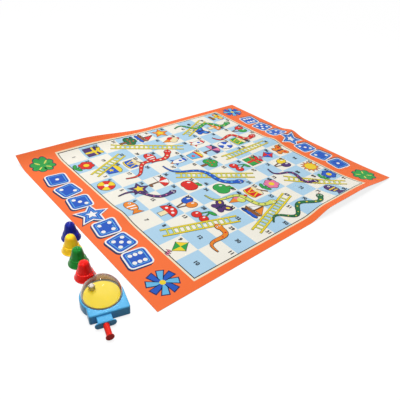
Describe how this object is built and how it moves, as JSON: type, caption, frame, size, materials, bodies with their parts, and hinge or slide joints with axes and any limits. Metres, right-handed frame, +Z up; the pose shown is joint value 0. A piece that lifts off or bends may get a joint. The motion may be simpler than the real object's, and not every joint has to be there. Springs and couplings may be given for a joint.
{
  "type": "snakes and ladders floor mat set",
  "caption": "Printed floor mat with a numbered square track, hollow cone pawns and a dice popper whose thumb plunger throws a die under a clear dome.",
  "frame": {"origin": "centre of the play mat's underside, on the floor", "axes": "+X along the first row of squares, +Y from the first row to the last row, +Z up"},
  "size_m": [0.6137, 0.8626, 0.0525],
  "materials": {
    "mat_print": "satin printed sheet",
    "pawn_blue_plastic": "moulded gloss",
    "pawn_yellow_plastic": "moulded gloss",
    "pawn_green_plastic": "moulded gloss",
    "pawn_red_plastic": "moulded gloss",
    "housing_plastic": "moulded satin",
    "base_plastic": "moulded satin",
    "screw_steel": "zinc plated",
    "clear_plastic": "clear moulded",
    "plate_plastic": "moulded satin",
    "plunger_plastic": "moulded gloss",
    "slide_plastic": "moulded satin",
    "spring_steel": "drawn wire",
    "die_plastic": "moulded gloss, dark pips"
  },
  "bodies": {
    "mat": {"play_mat": "mat_print"},
    "blue_pawn": {"pawn_blue": "pawn_blue_plastic"},
    "yellow_pawn": {"pawn_yellow": "pawn_yellow_plastic"},
    "green_pawn": {"pawn_green": "pawn_green_plastic"},
    "red_pawn": {"pawn_red": "pawn_red_plastic"},
    "popper": {"housing": "housing_plastic", "base_plate": "base_plastic", "base_screws": "screw_steel", "dome": "clear_plastic", "return_spring": "spring_steel"},
    "plunger_set": {"plunger": "plunger_plastic", "wedge_slide": "slide_plastic", "slide_pin": "screw_steel"},
    "plate_set": {"tumble_plate": "plate_plastic", "plate_screw": "screw_steel"},
    "dice": {"die": "die_plastic"}
  },
  "joints": [
    {"name": "blue_pawn_lift", "type": "slide", "parent": "mat", "child": "blue_pawn", "axis": [0, 0, 1], "range_m": [0, 0.08]},
    {"name": "yellow_pawn_lift", "type": "slide", "parent": "mat", "child": "yellow_pawn", "axis": [0, 0, 1], "range_m": [0, 0.08]},
    {"name": "green_pawn_lift", "type": "slide", "parent": "mat", "child": "green_pawn", "axis": [0, 0, 1], "range_m": [0, 0.08]},
    {"name": "red_pawn_lift", "type": "slide", "parent": "mat", "child": "red_pawn", "axis": [0, 0, 1], "range_m": [0, 0.08]},
    {"name": "popper_lift", "type": "slide", "parent": "mat", "child": "popper", "axis": [0, 0, 1], "range_m": [0, 0.08]},
    {"name": "plunger_push", "type": "slide", "parent": "popper", "child": "plunger_set", "axis": [-0.9608, 0.2773, 0], "range_m": [0, 0.014], "stiffness_N_per_m": 120, "springref_m": -0.01, "deforming": ["return_spring"]},
    {"name": "plate_lift", "type": "slide", "parent": "popper", "child": "plate_set", "axis": [0, 0, 1], "range_m": [0, 0.003]},
    {"name": "die_hop", "type": "slide", "parent": "plate_set", "child": "dice", "axis": [0, 0, 1], "range_m": [0, 0.005]}
  ],
  "couplings": [
    {"joint": "plate_lift", "follows": "plunger_push", "ratio": 0.21429}
  ]
}
